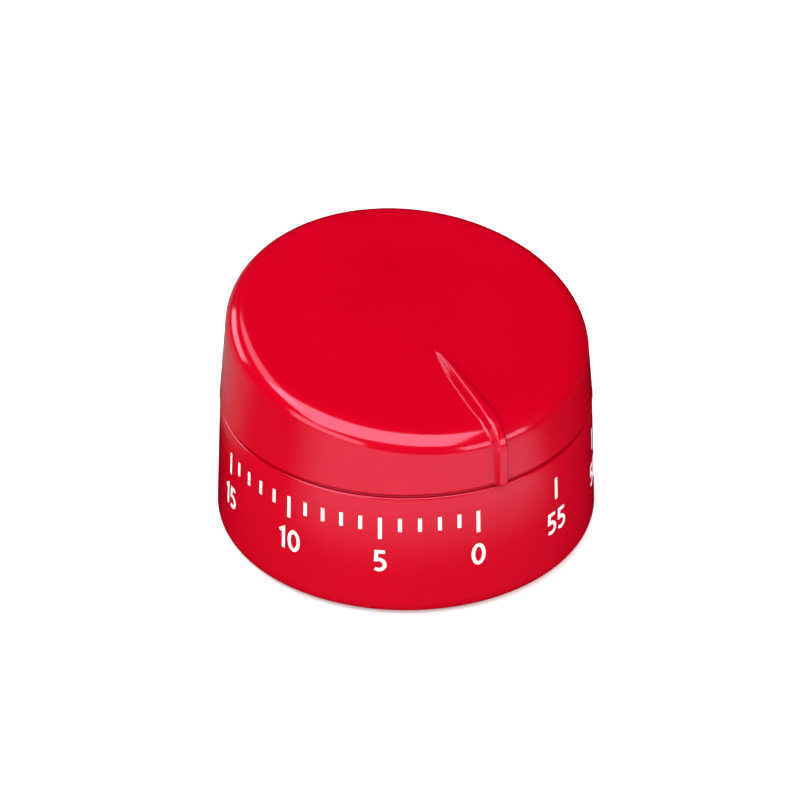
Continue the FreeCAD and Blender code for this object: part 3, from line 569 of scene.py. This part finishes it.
# ---- printed scale ----
def on_base(angle, across, height, rise):
    radius = base_radius(height)
    turn = math.radians(angle) + across / radius
    return ((radius + rise) * math.sin(turn), -(radius + rise) * math.cos(turn), height)


def half_oval(centre, half_wide, half_high, start, end, steps):
    points = []
    for index in range(steps + 1):
        angle = math.radians(start + (end - start) * index / steps)
        points.append((centre[0] + half_wide * math.cos(angle), centre[1] + half_high * math.sin(angle)))
    return points


def digit_paths(digit):
    # centre lines of the strokes in a box 1 high; each path is (points, closed)
    if digit == "0":
        return [(half_oval((0.30, 0.5), 0.235, 0.435, 0.0, 360.0, 40)[:-1], True)], 0.60
    if digit == "1":
        return [([(0.10, 0.80), (0.30, 0.945), (0.30, 0.0)], False)], 0.44
    if digit == "2":
        top = half_oval((0.27, 0.70), 0.225, 0.235, 160.0, -35.0, 16)
        return [(top + [(0.07, 0.065), (0.53, 0.065)], False)], 0.58
    if digit == "3":
        top = half_oval((0.25, 0.725), 0.205, 0.21, 140.0, -80.0, 14)
        low = half_oval((0.25, 0.285), 0.235, 0.225, 75.0, -140.0, 16)
        return [(top, False), ([(0.18, 0.515)] + low, False)], 0.56
    if digit == "4":
        return [([(0.56, 0.245), (0.065, 0.245), (0.40, 0.90), (0.40, 0.0)], False)], 0.60
    low = half_oval((0.235, 0.315), 0.25, 0.25, 112.0, -128.0, 20)
    return [([(0.49, 0.935), (0.135, 0.935), (0.115, 0.545)] + low, False)], 0.56


def stroke_band(path, closed, width):
    # left and right edge points of a stroke along a path, with mitred corners
    edges = []
    count = len(path)
    for index, (x, y) in enumerate(path):
        before = path[index - 1] if index or closed else None
        after = path[(index + 1) % count] if index < count - 1 or closed else None
        runs = []
        if before is not None:
            runs.append(Vector((x - before[0], y - before[1])).normalized())
        if after is not None:
            runs.append(Vector((after[0] - x, after[1] - y)).normalized())
        along = sum(runs, Vector((0.0, 0.0))).normalized()
        stretch = 1.0 / max(0.45, along.dot(runs[0]))
        side = Vector((-along.y, along.x)) * width * 0.5 * stretch
        edges.append(((x + side.x, y + side.y), (x - side.x, y - side.y)))
    return edges


def add_print(points, faces, edges, closed, angle):
    # a thin raised band that follows the base surface; edges are pairs of (across, height)
    first = len(points)
    for left, right in edges:
        for rise in (PRINT_RISE, -PRINT_BURIED):
            points.append(on_base(angle, left[0], left[1], rise))
            points.append(on_base(angle, right[0], right[1], rise))
    count = len(edges)
    for index in range(count if closed else count - 1):
        a = first + 4 * index
        b = first + 4 * ((index + 1) % count)
        faces.append((a, b, b + 1, a + 1))
        faces.append((a + 2, a + 3, b + 3, b + 2))
        faces.append((a, a + 2, b + 2, b))
        faces.append((a + 1, b + 1, b + 3, a + 3))
    if not closed:
        last = first + 4 * (count - 1)
        faces.append((first, first + 1, first + 3, first + 2))
        faces.append((last, last + 2, last + 3, last + 1))


def tick_edges(length):
    half = TICK_WIDTH / 2.0
    heights = [TICK_TOP_Z - length * step / 3.0 for step in range(4)]
    return [((-half, height), (half, height)) for height in heights]


def add_number(points, faces, minute):
    glyphs = [digit_paths(digit) for digit in str(minute)]
    start = -(sum(width for _, width in glyphs) + DIGIT_GAP * (len(glyphs) - 1)) / 2.0
    for paths, width in glyphs:
        for path, closed in paths:
            placed = [((start + x) * DIGIT_HEIGHT, DIGIT_TOP_Z + (y - 1.0) * DIGIT_HEIGHT) for x, y in path]
            edges = stroke_band(placed, closed, DIGIT_STROKE)
            add_print(points, faces, edges, closed, -DEGREES_PER_MINUTE * minute)
        start += width + DIGIT_GAP


def build_scale():
    # long ticks every five minutes, short ones between them only up to the last single minute
    points = []
    faces = []
    for minute in range(0, 60):
        if minute % 5 and minute > LAST_SINGLE_MINUTE:
            continue
        length = SHORT_TICK if minute % 5 else LONG_TICK
        add_print(points, faces, tick_edges(length), False, -DEGREES_PER_MINUTE * minute)
    for minute in range(0, 60, 5):
        add_number(points, faces, minute)
    return make_mesh("printed_scale", points, faces)


# ---- materials ----
def new_material(name):
    material = bpy.data.materials.new(name)
    material.use_nodes = True
    nodes = material.node_tree.nodes
    nodes.clear()
    output = nodes.new("ShaderNodeOutputMaterial")
    shader = nodes.new("ShaderNodeBsdfPrincipled")
    material.node_tree.links.new(shader.outputs["BSDF"], output.inputs["Surface"])
    return material, shader


def noise_node(material, scale, detail=3.0, stretch=(1.0, 1.0, 1.0)):
    tree = material.node_tree
    place = tree.nodes.new("ShaderNodeTexCoord")
    mapping = tree.nodes.new("ShaderNodeMapping")
    mapping.inputs["Scale"].default_value = stretch
    noise = tree.nodes.new("ShaderNodeTexNoise")
    noise.inputs["Scale"].default_value = scale
    noise.inputs["Detail"].default_value = detail
    tree.links.new(place.outputs["Object"], mapping.inputs["Vector"])
    tree.links.new(mapping.outputs["Vector"], noise.inputs["Vector"])
    return noise


def ramp_node(material, source, low, high):
    ramp = material.node_tree.nodes.new("ShaderNodeValToRGB")
    ramp.color_ramp.elements[0].position = NOISE_LOW
    ramp.color_ramp.elements[1].position = NOISE_HIGH
    ramp.color_ramp.elements[0].color = (*low, 1.0)
    ramp.color_ramp.elements[1].color = (*high, 1.0)
    material.node_tree.links.new(source, ramp.inputs["Fac"])
    return ramp


def range_node(material, source, low, high):
    spread = material.node_tree.nodes.new("ShaderNodeMapRange")
    spread.inputs["From Min"].default_value = NOISE_LOW
    spread.inputs["From Max"].default_value = NOISE_HIGH
    spread.inputs["To Min"].default_value = low
    spread.inputs["To Max"].default_value = high
    material.node_tree.links.new(source, spread.inputs["Value"])
    return spread


def bump_node(material, source, distance, strength):
    bump = material.node_tree.nodes.new("ShaderNodeBump")
    bump.inputs["Distance"].default_value = distance
    bump.inputs["Strength"].default_value = strength
    material.node_tree.links.new(source, bump.inputs["Height"])
    return bump


def plastic(name, low, high, rough_low, rough_high, grain, depth, tint_gloss=(1.0, 1.0, 1.0)):
    material, shader = new_material(name)
    tree = material.node_tree
    cloud = noise_node(material, PLASTIC_CLOUD, 2.0)
    fine = noise_node(material, grain, 4.0)
    tint = ramp_node(material, cloud.outputs["Fac"], low, high)
    rough = range_node(material, fine.outputs["Fac"], rough_low, rough_high)
    bump = bump_node(material, fine.outputs["Fac"], depth, PLASTIC_BUMP_STRENGTH)
    tree.links.new(tint.outputs["Color"], shader.inputs["Base Color"])
    tree.links.new(rough.outputs["Result"], shader.inputs["Roughness"])
    tree.links.new(bump.outputs["Normal"], shader.inputs["Normal"])
    shader.inputs["Specular Tint"].default_value = (*tint_gloss, 1.0)
    shader.inputs["Specular IOR Level"].default_value = PLASTIC_SPECULAR
    return material


def metal(name, low, high, rough_low, rough_high, stretch):
    material, shader = new_material(name)
    tree = material.node_tree
    cloud = noise_node(material, METAL_CLOUD, 3.0)
    brushed = noise_node(material, METAL_GRAIN, 2.0, stretch)
    tint = ramp_node(material, cloud.outputs["Fac"], low, high)
    rough = range_node(material, brushed.outputs["Fac"], rough_low, rough_high)
    bump = bump_node(material, brushed.outputs["Fac"], METAL_BUMP_DEPTH, METAL_BUMP_STRENGTH)
    tree.links.new(tint.outputs["Color"], shader.inputs["Base Color"])
    tree.links.new(rough.outputs["Result"], shader.inputs["Roughness"])
    tree.links.new(bump.outputs["Normal"], shader.inputs["Normal"])
    shader.inputs["Metallic"].default_value = 1.0
    return material


def paint(piece, material):
    piece.data.materials.clear()
    piece.data.materials.append(material)


RED_LOW = (0.36, 0.0, 0.007)
RED_HIGH = (0.39, 0.0004, 0.010)
red = plastic("red_gloss_plastic", RED_LOW, RED_HIGH, 0.09, 0.14, 2600.0, 0.000006, (1.0, 0.68, 1.0))
dark = plastic("dark_cover_plastic", (0.018, 0.018, 0.02), (0.028, 0.028, 0.03), 0.38, 0.5, 2200.0, 0.00003)
ink = plastic("white_print_ink", (0.78, 0.77, 0.77), (0.86, 0.86, 0.86), 0.35, 0.5, 3000.0, 0.000008)
steel = metal("brushed_steel", (0.50, 0.51, 0.52), (0.60, 0.61, 0.62), 0.24, 0.38, (1.0, 12.0, 1.0))
brass = metal("stamped_brass", (0.66, 0.44, 0.15), (0.76, 0.54, 0.22), 0.22, 0.36, (10.0, 1.0, 1.0))
spring = metal("blued_spring_steel", (0.20, 0.23, 0.32), (0.28, 0.31, 0.40), 0.2, 0.32, (1.0, 1.0, 14.0))
bell_metal = metal("plated_bell", (0.62, 0.61, 0.59), (0.70, 0.69, 0.67), 0.12, 0.22, (6.0, 6.0, 1.0))

slot_paint = {"red_plastic": red, "cover_plastic": dark, "steel": steel, "brass": brass}
slot_paint.update({"spring_steel": spring, "bell_steel": bell_metal})
for part in frame["record"]["subparts"]:
    paint(frame["nodes"][part["node"]], slot_paint[part["material_slot"]])

# ---- pieces ----
base_piece = build_base()
paint(base_piece, red)
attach(base_piece, "base")
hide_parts("base_shell")

cap_piece = build_cap()
paint(cap_piece, red)
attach(cap_piece, "cap_group")
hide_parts("cap")

for fitting, body in ((build_base_fittings(), "base"), (build_cap_fittings(), "cap_group")):
    paint(fitting, red)
    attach(fitting, body)

scale_piece = build_scale()
paint(scale_piece, ink)
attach(scale_piece, "base")

# ---- floor ----
def flat_plane(name, reach, height):
    mesh = bpy.data.meshes.new(name)
    corners = [(x * reach, y * reach, height) for x, y in ((-1, -1), (1, -1), (1, 1), (-1, 1))]
    mesh.from_pydata(corners, [], [(0, 1, 2, 3)])
    plane = bpy.data.objects.new(name, mesh)
    bpy.context.scene.collection.objects.link(plane)
    return plane


floor = flat_plane("floor", FLOOR_REACH, FLOOR_Z)
floor_paint, floor_shader = new_material("floor_paint")
floor_cloud = noise_node(floor_paint, 3.0)
floor_tint = ramp_node(floor_paint, floor_cloud.outputs["Fac"], (0.94, 0.94, 0.94), (0.96, 0.96, 0.96))
floor_paint.node_tree.links.new(floor_tint.outputs["Color"], floor_shader.inputs["Base Color"])
floor_shader.inputs["Roughness"].default_value = 0.9
floor_shader.inputs["Emission Color"].default_value = (1.0, 1.0, 1.0, 1.0)
floor_shader.inputs["Emission Strength"].default_value = FLOOR_GLOW
floor_shader.inputs["Specular IOR Level"].default_value = 0.1
floor.data.materials.append(floor_paint)
floor.visible_glossy = False


# ---- camera ----
def view_direction(azimuth, elevation):
    a = math.radians(azimuth)
    e = math.radians(elevation)
    return Vector((math.sin(a) * math.cos(e), -math.cos(a) * math.cos(e), math.sin(e)))


back = view_direction(VIEW_AZIMUTH, VIEW_ELEVATION)
right = Vector((0.0, 0.0, 1.0)).cross(back).normalized()
up = back.cross(right)
# the camera looks a little above and beside the origin, as in the photograph
toward = (-back).normalized()
yaw = math.radians(LOOK_YAW)
pitch = math.radians(LOOK_PITCH)
look = (toward - right * math.tan(yaw) + up * math.tan(pitch)).normalized()
camera_data = bpy.data.cameras.new("camera")
camera_data.sensor_width = SENSOR_WIDTH
camera_data.lens = LENS_LENGTH
camera_data.clip_start = 0.05
camera_data.clip_end = 20.0
camera = bpy.data.objects.new("camera", camera_data)
bpy.context.scene.collection.objects.link(camera)
camera.location = back * VIEW_DISTANCE * MM
camera.rotation_euler = look.to_track_quat("-Z", "Y").to_euler()
bpy.context.scene.camera = camera


# ---- light ----
def soft_light(name, azimuth, elevation, distance, wide, high, strength):
    data = bpy.data.lights.new(name, "AREA")
    data.shape = "RECTANGLE"
    data.size = wide
    data.size_y = high
    data.energy = strength
    lamp = bpy.data.objects.new(name, data)
    bpy.context.scene.collection.objects.link(lamp)
    # the panel faces the object, its width along the picture's left to right
    away = view_direction(VIEW_AZIMUTH + azimuth, elevation)
    level = Vector((0.0, 0.0, 1.0)).cross(away) if elevation < LEVEL_LAMP_LIMIT else right
    wide_axis = (level - away * level.dot(away)).normalized()
    high_axis = away.cross(wide_axis)
    turned = Matrix((wide_axis, high_axis, away)).transposed().to_4x4()
    lamp.matrix_world = Matrix.Translation(away * distance + Vector((0.0, 0.0, LAMP_AIM_Z))) @ turned
    return lamp


def lobe(tree, direction, azimuth, start, full, strength):
    # a soft-edged patch of light round one compass direction
    toward = view_direction(VIEW_AZIMUTH + azimuth, 0.0)
    facing = tree.nodes.new("ShaderNodeVectorMath")
    facing.operation = "DOT_PRODUCT"
    facing.inputs[1].default_value = toward
    tree.links.new(direction, facing.inputs[0])
    patch = tree.nodes.new("ShaderNodeMapRange")
    patch.interpolation_type = "SMOOTHSTEP"
    patch.inputs["From Min"].default_value = math.cos(math.radians(start))
    patch.inputs["From Max"].default_value = math.cos(math.radians(full))
    patch.inputs["To Max"].default_value = strength
    tree.links.new(facing.outputs["Value"], patch.inputs["Value"])
    return patch.outputs["Result"]


def combine(tree, operation, first, second):
    node = tree.nodes.new("ShaderNodeMath")
    node.operation = operation
    for socket, value in zip(node.inputs, (first, second)):
        if isinstance(value, float):
            socket.default_value = value
        else:
            tree.links.new(value, socket)
    return node.outputs["Value"]


def level_direction(tree, source):
    flat = tree.nodes.new("ShaderNodeVectorMath")
    flat.operation = "MULTIPLY"
    flat.inputs[1].default_value = (1.0, 1.0, 0.0)
    tree.links.new(source, flat.inputs[0])
    unit = tree.nodes.new("ShaderNodeVectorMath")
    unit.operation = "NORMALIZE"
    tree.links.new(flat.outputs["Vector"], unit.inputs[0])
    return unit.outputs["Vector"]


def soft_step(tree, value, low, high):
    step = tree.nodes.new("ShaderNodeMapRange")
    step.interpolation_type = "SMOOTHSTEP"
    step.inputs["From Min"].default_value = low
    step.inputs["From Max"].default_value = high
    tree.links.new(value, step.inputs["Value"])
    return step.outputs["Result"]


def side_light(tree, source):
    direction = level_direction(tree, source)
    front = lobe(tree, direction, *FRONT_LOBE)
    left = lobe(tree, direction, *LEFT_LOBE)
    return combine(tree, "ADD", front, left)


# a glowing card seen only in the gloss: painted reflection of the lit table top round the object, dark close
# to it as painted shadow
card = flat_plane("table_glow", CARD_REACH, CARD_Z)
glow = bpy.data.materials.new("table_glow")
glow.use_nodes = True
glow.node_tree.nodes.clear()
place = glow.node_tree.nodes.new("ShaderNodeTexCoord")
reach = glow.node_tree.nodes.new("ShaderNodeVectorMath")
reach.operation = "LENGTH"
glow.node_tree.links.new(place.outputs["Object"], reach.inputs[0])
# painted shadow: the card stays dark near the axis, where the object's own shadow would lie on the table
shade = soft_step(glow.node_tree, reach.outputs["Value"], *CARD_FADE)
power = combine(glow.node_tree, "MULTIPLY", side_light(glow.node_tree, place.outputs["Object"]), shade)
emission = glow.node_tree.nodes.new("ShaderNodeEmission")
glow.node_tree.links.new(power, emission.inputs["Strength"])
sink = glow.node_tree.nodes.new("ShaderNodeOutputMaterial")
glow.node_tree.links.new(emission.outputs["Emission"], sink.inputs["Surface"])
glow.cycles.emission_sampling = "NONE"
card.data.materials.append(glow)
for ray in ("visible_camera", "visible_diffuse", "visible_transmission", "visible_shadow"):
    setattr(card, ray, False)

for *setting, glossy in LAMPS:
    soft_light(*setting).visible_glossy = glossy

world = bpy.data.worlds.new("studio")
bpy.context.scene.world = world
world.use_nodes = True
sky = world.node_tree
sky_place = sky.nodes.new("ShaderNodeTexCoord")
height = sky.nodes.new("ShaderNodeSeparateXYZ")
sky.links.new(sky_place.outputs["Generated"], height.inputs["Vector"])
fade = combine(sky, "SUBTRACT", 1.0, soft_step(sky, height.outputs["Z"], *WALL_FADE))
walls = combine(sky, "MULTIPLY", side_light(sky, sky_place.outputs["Generated"]), fade)
sky.links.new(combine(sky, "ADD", walls, SKY_LEVEL), sky.nodes["Background"].inputs["Strength"])
bpy.context.scene.view_settings.view_transform = "Standard"
